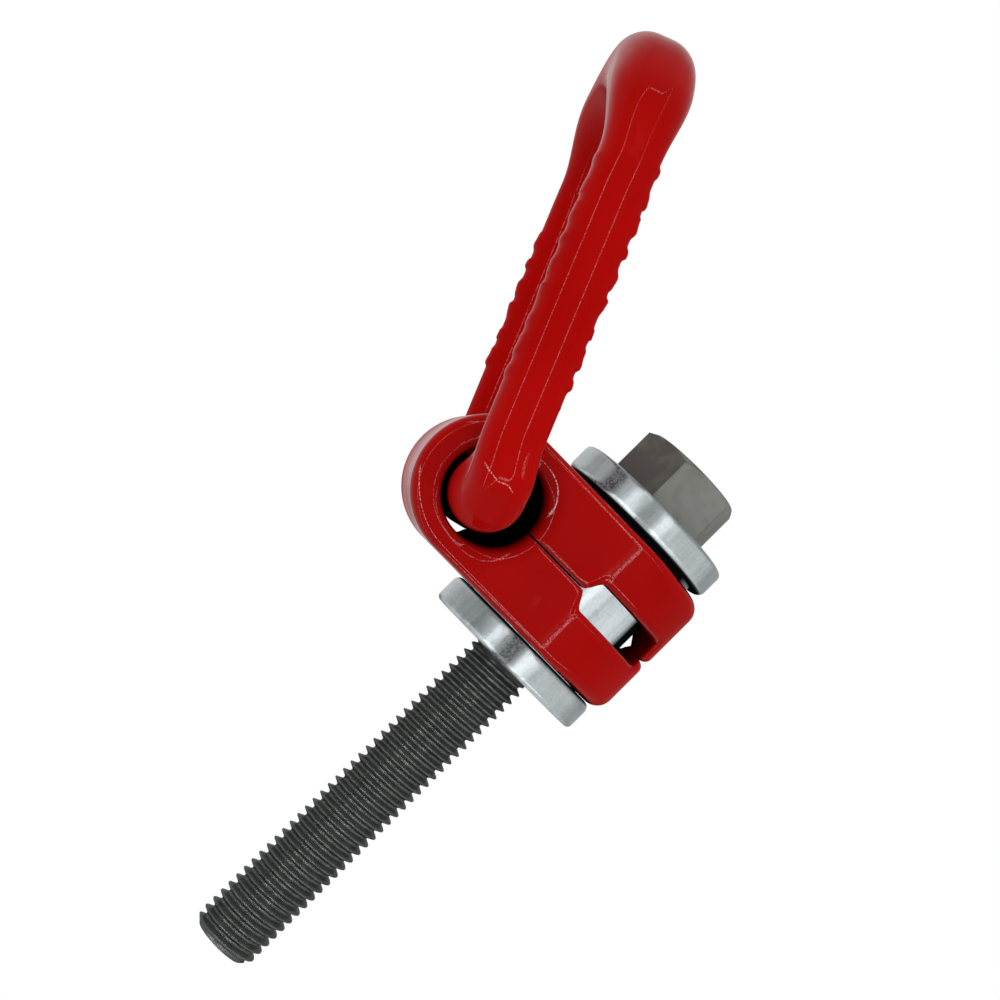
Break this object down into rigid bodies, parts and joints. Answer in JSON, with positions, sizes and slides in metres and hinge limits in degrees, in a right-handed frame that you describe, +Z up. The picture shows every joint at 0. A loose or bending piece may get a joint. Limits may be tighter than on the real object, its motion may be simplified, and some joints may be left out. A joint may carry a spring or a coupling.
{
  "type": "swivel hoist ring",
  "caption": "Side-pull swivel hoist ring: a hex bolt clamps a bushing on which a folded forged body swivels, and a forged bail hinges in the body's eye.",
  "frame": {"origin": "bolt axis, on the mounting face (underside of the lower flange)", "axes": "+Z up the bolt to its head; the eye of the body lies towards -X; the bail hinges about +Y"},
  "size_m": [0.077, 0.059, 0.1573],
  "materials": {
    "zinc_plate": "bright zinc plating",
    "spring_steel": "oiled spring steel",
    "black_oxide": "black oxide, with bare worn thread crests",
    "red_paint": "glossy red powder coat on a forging"
  },
  "bodies": {
    "bushing_group": {"flanged_bushing": "zinc_plate", "retaining_ring": "spring_steel"},
    "bolt": {"hex_bolt": "black_oxide"},
    "washer": {"load_washer": "zinc_plate"},
    "body": {"swivel_body": "red_paint"},
    "bail": {"lifting_bail": "red_paint"}
  },
  "joints": [
    {"name": "bolt_turn", "type": "hinge", "parent": "bushing_group", "child": "bolt", "pos_m": [0, 0, 0.02], "axis": [0, 0, 1], "continuous": true},
    {"name": "washer_turn", "type": "hinge", "parent": "bushing_group", "child": "washer", "pos_m": [0, 0, 0.0335], "axis": [0, 0, 1], "continuous": true},
    {"name": "body_swivel", "type": "hinge", "parent": "bushing_group", "child": "body", "pos_m": [0, 0, 0.01745], "axis": [0, 0, 1], "continuous": true},
    {"name": "bail_hinge", "type": "hinge", "parent": "body", "child": "bail", "pos_m": [-0.0232, 0, 0.01705], "axis": [0, 1, 0], "range_deg": [-75, 120]}
  ]
}
